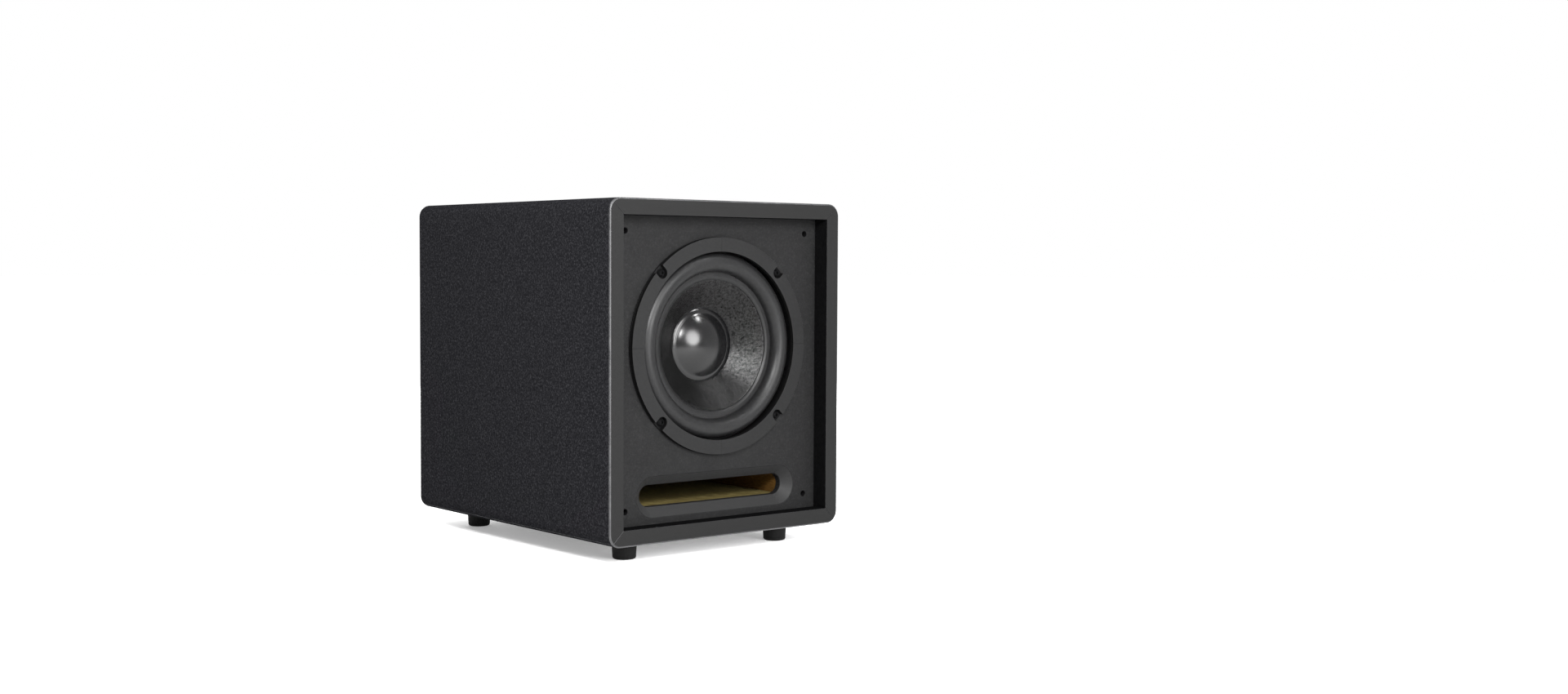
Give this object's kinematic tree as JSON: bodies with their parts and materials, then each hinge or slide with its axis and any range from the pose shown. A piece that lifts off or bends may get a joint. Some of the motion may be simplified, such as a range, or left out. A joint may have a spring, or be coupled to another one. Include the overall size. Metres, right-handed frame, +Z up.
{
  "type": "powered subwoofer",
  "caption": "Powered subwoofer: mitred wooden cabinet on rubber feet, recessed baffle with driver and slot port, amplifier plate with controls in the back.",
  "frame": {"origin": "on the floor, under the middle of the cabinet", "axes": "+Z up, the driver and port face -Y, the amplifier faces +Y, +X is the listener's right facing the driver"},
  "size_m": [0.27, 0.345, 0.33],
  "materials": {
    "cabinet_paint": "black satin paint with a fine pebble texture on fibreboard",
    "panel_paint": "dark grey satin paint on fibreboard",
    "bare_fibreboard": "bare medium-density fibreboard, sawn and sanded",
    "foot_rubber": "black moulded rubber",
    "black_steel": "black coated steel",
    "trim_ring": "satin dark grey moulded trim",
    "surround_rubber": "satin black butyl rubber",
    "cone_skin": "glossy black coated fibre with a coarse grain",
    "spider_cloth": "resin-stiffened woven cotton",
    "former_film": "amber film",
    "copper_wire": "enamelled copper wire",
    "plated_steel": "zinc-plated steel",
    "magnet_ferrite": "dark sintered ferrite",
    "core_iron": "varnished laminated iron",
    "amplifier_plate": "black anodised aluminium, brushed upright",
    "heatsink": "black anodised aluminium extrusion",
    "circuit_board": "green glass-fibre laminate",
    "black_plastic": "black moulded plastic",
    "knob_plastic": "black moulded plastic with a bright ring",
    "bright_metal": "bright nickel plating",
    "lamp_red": "clear red lens",
    "jack_white": "white insulator",
    "jack_red": "red insulator",
    "fuse_glass": "clear glass tube"
  },
  "bodies": {
    "root": {"cabinet_top": "cabinet_paint", "cabinet_right_side": "cabinet_paint", "cabinet_bottom": "cabinet_paint", "cabinet_left_side": "cabinet_paint", "front_baffle": "panel_paint", "rear_panel": "panel_paint", "port_floor": "bare_fibreboard", "port_left_cheek": "bare_fibreboard", "port_right_cheek": "bare_fibreboard", "port_roof": "bare_fibreboard", "foot_front_left": "foot_rubber", "foot_front_right": "foot_rubber", "foot_rear_left": "foot_rubber", "foot_rear_right": "foot_rubber", "driver_basket": "black_steel", "driver_screw_1": "black_steel", "driver_screw_2": "black_steel", "driver_screw_3": "black_steel", "driver_screw_4": "black_steel", "trim_ring_upper_right": "trim_ring", "trim_ring_upper_left": "trim_ring", "trim_ring_lower_left": "trim_ring", "trim_ring_lower_right": "trim_ring", "surround": "surround_rubber", "spider": "spider_cloth", "transformer_winding": "copper_wire", "motor_top_plate": "plated_steel", "motor_yoke": "plated_steel", "transformer_bracket": "plated_steel", "motor_magnet": "magnet_ferrite", "transformer_core": "core_iron", "amplifier_plate": "amplifier_plate", "heatsink": "heatsink", "power_board": "circuit_board", "preamp_board": "circuit_board", "driver_terminal": "black_plastic", "switch_housing": "black_plastic", "mains_inlet": "black_plastic", "speaker_lead": "black_plastic", "reservoir_capacitor_1": "black_plastic", "reservoir_capacitor_2": "black_plastic", "level_potentiometer": "bright_metal", "low_cut_potentiometer": "bright_metal", "high_cut_potentiometer": "bright_metal", "phase_potentiometer": "bright_metal", "power_lamp": "lamp_red", "input_jack_white": "jack_white", "input_jack_red": "jack_red"},
    "moving_cone": {"cone": "cone_skin", "dust_cap": "cone_skin", "coil_former": "former_film", "voice_coil": "copper_wire"},
    "level_knob": {"level_knob": "knob_plastic"},
    "low_cut_knob": {"low_cut_knob": "knob_plastic"},
    "high_cut_knob": {"high_cut_knob": "knob_plastic"},
    "phase_knob": {"phase_knob": "knob_plastic"},
    "rocker": {"switch_rocker": "black_plastic"},
    "fuse_drawer": {"fuse_drawer": "black_plastic", "fuse": "fuse_glass"}
  },
  "joints": [
    {"name": "cone_travel", "type": "slide", "parent": "root", "child": "moving_cone", "axis": [0, 1, 0], "range_m": [-0.006, 0.006], "stiffness_N_per_m": 1600, "deforming": ["surround", "spider"]},
    {"name": "level_turn", "type": "hinge", "parent": "root", "child": "level_knob", "pos_m": [0.0369, 0.165, 0.25999], "axis": [0, -1, 0], "range_deg": [-280, 20]},
    {"name": "low_cut_turn", "type": "hinge", "parent": "root", "child": "low_cut_knob", "pos_m": [0.0369, 0.165, 0.23536], "axis": [0, -1, 0], "range_deg": [-280, 20]},
    {"name": "high_cut_turn", "type": "hinge", "parent": "root", "child": "high_cut_knob", "pos_m": [0.0369, 0.165, 0.21073], "axis": [0, -1, 0], "range_deg": [-280, 20]},
    {"name": "phase_turn", "type": "hinge", "parent": "root", "child": "phase_knob", "pos_m": [0.0369, 0.165, 0.1861], "axis": [0, -1, 0], "range_deg": [-280, 20]},
    {"name": "rocker_tilt", "type": "hinge", "parent": "root", "child": "rocker", "pos_m": [0.0534, 0.156, 0.1274], "axis": [0, 0, 1], "range_deg": [0, 20]},
    {"name": "fuse_drawer_slide", "type": "slide", "parent": "root", "child": "fuse_drawer", "axis": [0, 1, 0], "range_m": [0, 0.013]}
  ]
}
